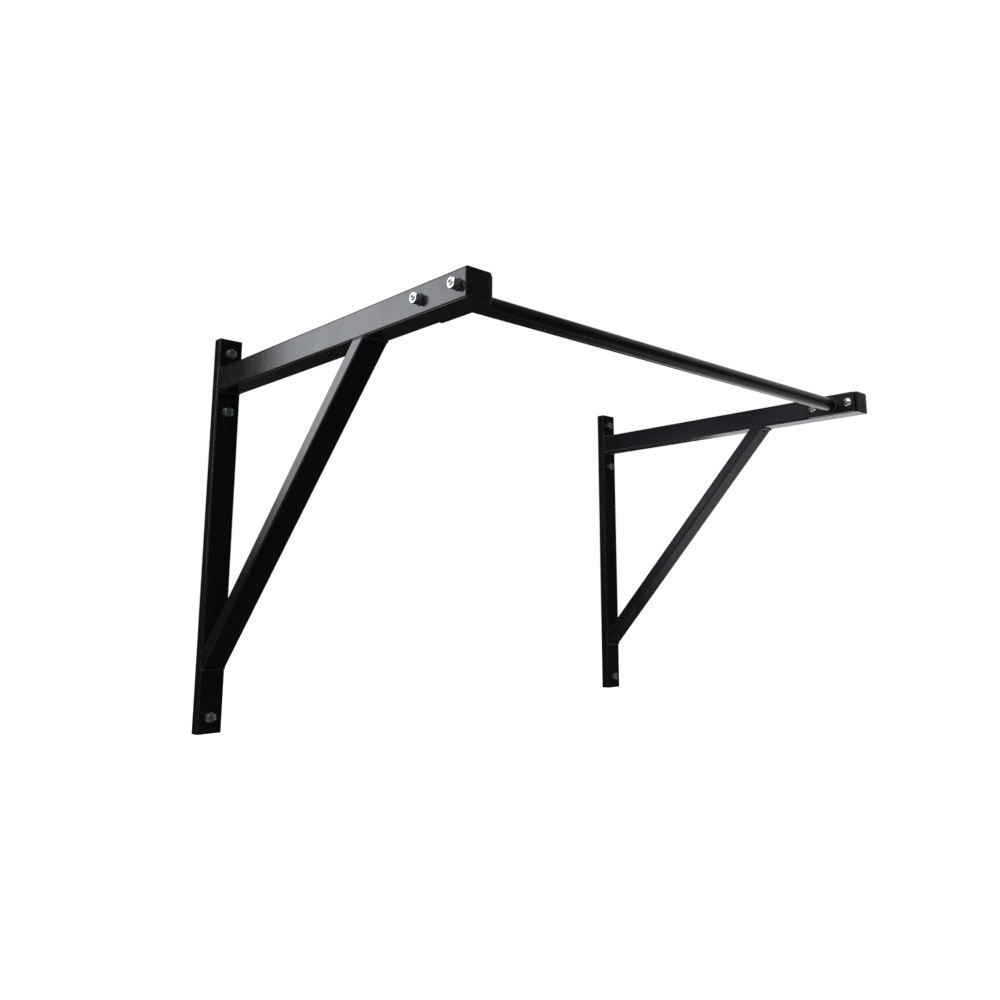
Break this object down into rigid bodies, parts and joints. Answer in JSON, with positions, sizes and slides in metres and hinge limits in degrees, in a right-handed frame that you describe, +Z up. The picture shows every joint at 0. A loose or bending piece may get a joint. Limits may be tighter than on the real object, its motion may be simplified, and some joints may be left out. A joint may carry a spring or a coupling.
{
  "type": "wall-mounted pull-up bar",
  "caption": "Wall-mounted pull-up bar: a round steel bar bolted between two triangular brackets of black rectangular tube, held to the wall by hex-head bolts.",
  "frame": {"origin": "on the wall plane, at the centre of the four outer wall bolts", "axes": "+X along the bar towards the right bracket, +Y into the wall, +Z up; the arms reach out towards -Y"},
  "size_m": [1.278, 0.856, 0.804],
  "materials": {
    "black_powder_coat": "semi-gloss black powder coat",
    "coated_weld": "weld bead under the same powder coat",
    "black_plastic_cap": "fine moulded texture",
    "zinc_wall_bolt": "zinc plated",
    "zinc_washer": "zinc plated, stamped",
    "bright_bolt": "bright plated",
    "bright_nut": "bright plated",
    "spring_steel": "zinc plated spring steel"
  },
  "bodies": {
    "root": {"pull_up_bar": "black_powder_coat", "left_upright": "black_powder_coat", "left_arm": "black_powder_coat", "left_brace": "black_powder_coat", "left_bar_flange": "black_powder_coat", "left_arm_weld": "coated_weld", "left_brace_top_weld": "coated_weld", "left_brace_foot_weld": "coated_weld", "left_bar_weld": "coated_weld", "left_upright_top_cap": "black_plastic_cap", "left_upright_bottom_cap": "black_plastic_cap", "left_arm_front_cap": "black_plastic_cap", "left_top_wall_bolt": "zinc_wall_bolt", "left_top_wall_washer": "zinc_washer", "left_middle_wall_bolt": "zinc_wall_bolt", "left_middle_wall_washer": "zinc_washer", "left_bottom_wall_bolt": "zinc_wall_bolt", "left_bottom_wall_washer": "zinc_washer", "left_rear_flange_bolt": "bright_bolt", "left_rear_flange_nut": "bright_nut", "left_rear_flange_washer": "zinc_washer", "left_rear_spring_washer": "spring_steel", "left_front_flange_bolt": "bright_bolt", "left_front_flange_nut": "bright_nut", "left_front_flange_washer": "zinc_washer", "left_front_spring_washer": "spring_steel", "right_upright": "black_powder_coat", "right_arm": "black_powder_coat", "right_brace": "black_powder_coat", "right_bar_flange": "black_powder_coat", "right_arm_weld": "coated_weld", "right_brace_top_weld": "coated_weld", "right_brace_foot_weld": "coated_weld", "right_bar_weld": "coated_weld", "right_upright_top_cap": "black_plastic_cap", "right_upright_bottom_cap": "black_plastic_cap", "right_arm_front_cap": "black_plastic_cap", "right_top_wall_bolt": "zinc_wall_bolt", "right_top_wall_washer": "zinc_washer", "right_middle_wall_bolt": "zinc_wall_bolt", "right_middle_wall_washer": "zinc_washer", "right_bottom_wall_bolt": "zinc_wall_bolt", "right_bottom_wall_washer": "zinc_washer", "right_rear_flange_bolt": "bright_bolt", "right_rear_flange_nut": "bright_nut", "right_rear_flange_washer": "zinc_washer", "right_rear_spring_washer": "spring_steel", "right_front_flange_bolt": "bright_bolt", "right_front_flange_nut": "bright_nut", "right_front_flange_washer": "zinc_washer", "right_front_spring_washer": "spring_steel"}
  },
  "joints": []
}
